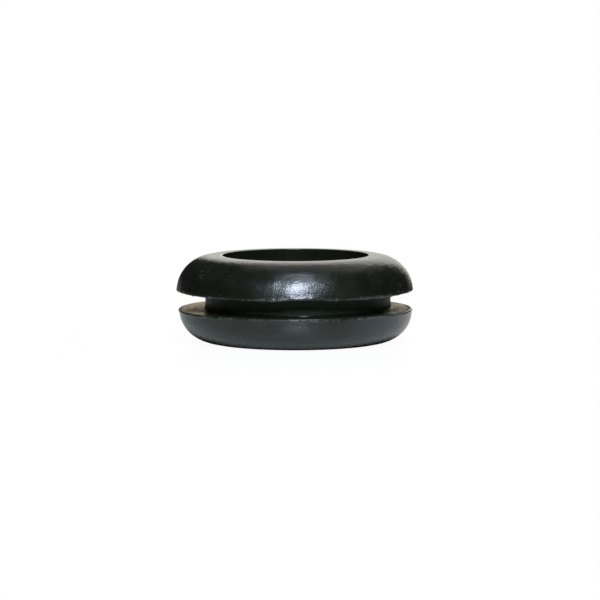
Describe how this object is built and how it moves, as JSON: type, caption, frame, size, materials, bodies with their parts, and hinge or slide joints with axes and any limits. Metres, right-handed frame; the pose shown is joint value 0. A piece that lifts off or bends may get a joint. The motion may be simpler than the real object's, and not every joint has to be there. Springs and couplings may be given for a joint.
{
  "type": "rubber grommet",
  "caption": "Round open rubber grommet with two domed flanges, a panel groove between them and a straight bore that lines a cable hole.",
  "frame": {"origin": "on the bore's axis, at the plane of the lower flange's flat underside", "axes": "+Z along the bore, from the lower flange to the upper one; X and Y lie in the panel's plane"},
  "size_m": [0.0252, 0.0252, 0.0093],
  "materials": {
    "rubber": "satin black moulding with a fine grain"
  },
  "bodies": {
    "root": {"rubber_grommet": "rubber"}
  },
  "joints": []
}
